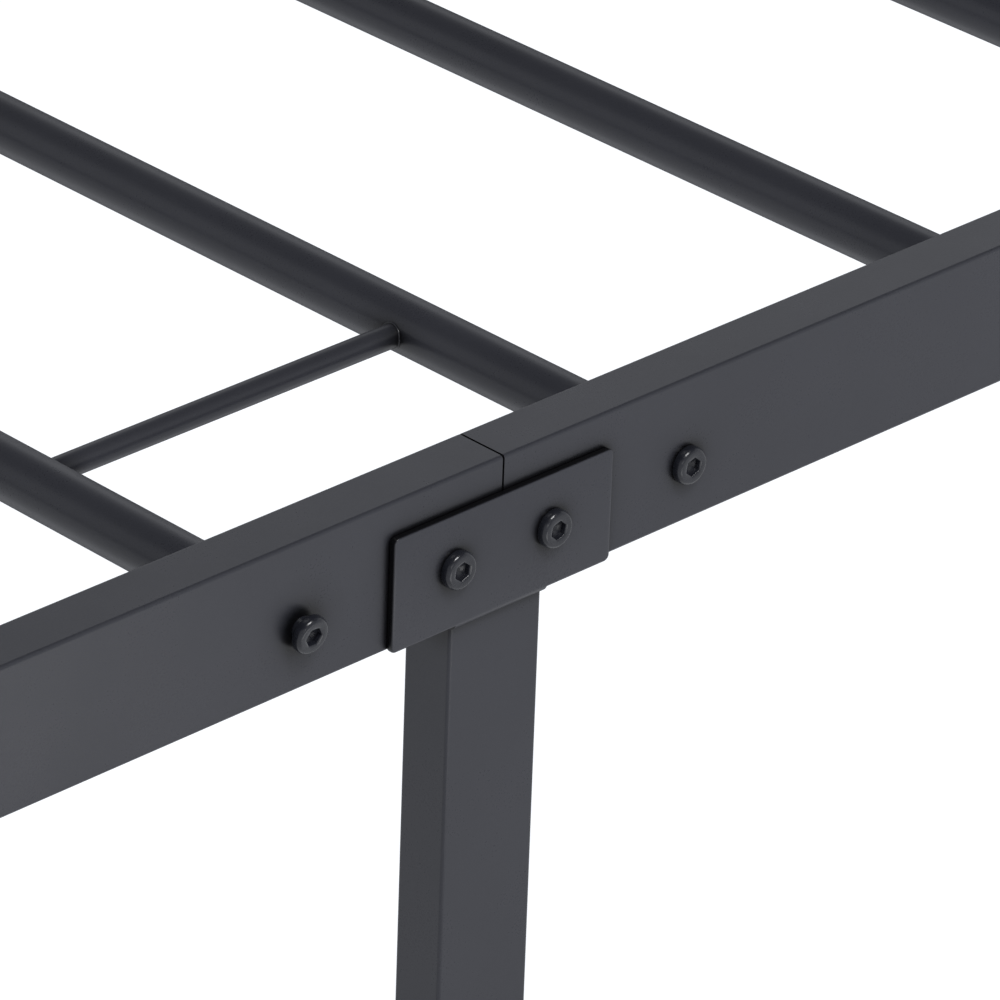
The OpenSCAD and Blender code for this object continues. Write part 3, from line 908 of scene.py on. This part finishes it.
def direction(azimuth, elevation):
    """Unit vector towards a place seen from the object; azimuth 0 is the -Y side."""
    a = math.radians(azimuth)
    e = math.radians(elevation)
    return Vector((math.sin(a) * math.cos(e), -math.cos(a) * math.cos(e), math.sin(e)))


def make_camera(aim):
    data = bpy.data.cameras.new("camera")
    data.lens = CAMERA_LENS
    data.clip_start = CLIP_START
    data.clip_end = CLIP_END
    cam = bpy.data.objects.new("camera", data)
    bpy.context.scene.collection.objects.link(cam)
    back = direction(CAMERA_AZIMUTH, CAMERA_ELEVATION)
    turn = (-back).to_track_quat("-Z", "Y").to_matrix().to_4x4()
    roll = Matrix.Rotation(math.radians(CAMERA_ROLL), 4, "Z")
    cam.matrix_world = Matrix.Translation(aim + back * CAMERA_DISTANCE) @ turn @ roll
    bpy.context.scene.camera = cam


def area_light(name, place, way, size, power):
    """Soft rectangular lamp at a place, shining the way given; the camera doesn't see it."""
    data = bpy.data.lights.new(name, "AREA")
    data.shape = "RECTANGLE"
    data.size, data.size_y = size
    data.energy = power
    light = bpy.data.objects.new(name, data)
    light.visible_camera = False
    bpy.context.scene.collection.objects.link(light)
    light.location = place
    light.rotation_mode = "QUATERNION"
    light.rotation_quaternion = way.to_track_quat("-Z", "Y")


def make_lamps(aim):
    for name, azimuth, elevation, distance, size, power in LAMPS:
        back = direction(azimuth, elevation)
        area_light(name, aim + back * distance, -back, size, power)
    area_light("bounce", BOUNCE_PLACE, Vector((0, 0, 1)), BOUNCE_SIZE, BOUNCE_POWER)


def make_world():
    """White walls that end part of the way up, with a dark ceiling above them."""
    world = bpy.data.worlds.new("studio")
    bpy.context.scene.world = world
    tree = Tree(world, "Background", "Generated")
    ramp = tree.nodes.new("ShaderNodeValToRGB")
    tree.put(tree.dot(tree.place, Vector((0, 0, 1))), ramp.inputs["Fac"])
    tree.put(ramp.outputs["Color"], tree.shader.inputs["Color"])
    stops = ramp.color_ramp.elements
    while len(stops) < len(WALLS):
        stops.new(0.5)
    for stop, (height, level) in zip(stops, WALLS):
        stop.position = height
        stop.color = (*(level * c for c in GLOW_COLOUR), 1)


def make_floor():
    """Wide pale floor that glows, so that it stays evenly white round the object."""
    mesh = bpy.data.meshes.new("floor")
    floor = bpy.data.objects.new("floor", mesh)
    bpy.context.scene.collection.objects.link(floor)
    form = bmesh.new()
    bmesh.ops.create_grid(form, x_segments=1, y_segments=1, size=FLOOR_HALF)
    form.to_mesh(mesh)
    form.free()
    mat = bpy.data.materials.new("floor")
    mat.use_nodes = True
    shader = mat.node_tree.nodes["Principled BSDF"]
    shader.inputs["Base Color"].default_value = (*FLOOR_COLOUR, 1)
    shader.inputs["Roughness"].default_value = FLOOR_ROUGHNESS
    shader.inputs["Specular IOR Level"].default_value = FLOOR_SPECULAR
    shader.inputs["Emission Color"].default_value = (*GLOW_COLOUR, 1)
    shader.inputs["Emission Strength"].default_value = FLOOR_GLOW
    mesh.materials.append(mat)


# ---------- putting it together ----------

for row in frame["record"]["subparts"]:
    mesh = NODES[row["node"]].data
    mesh.materials.clear()
    mesh.materials.append(MATERIALS[row["material_slot"]])

make_slats()
make_tie_rods()
make_welds()
make_screws()
make_brackets()
make_beam_plates()
make_caps()
make_rail_plugs()
make_saddles()

bpy.context.scene.view_settings.view_transform = "Standard"
aim = Vector((0, -SIDE_Y, RAIL_TOP - AIM_DROP))
make_world()
make_floor()
make_lamps(aim)
make_camera(aim)
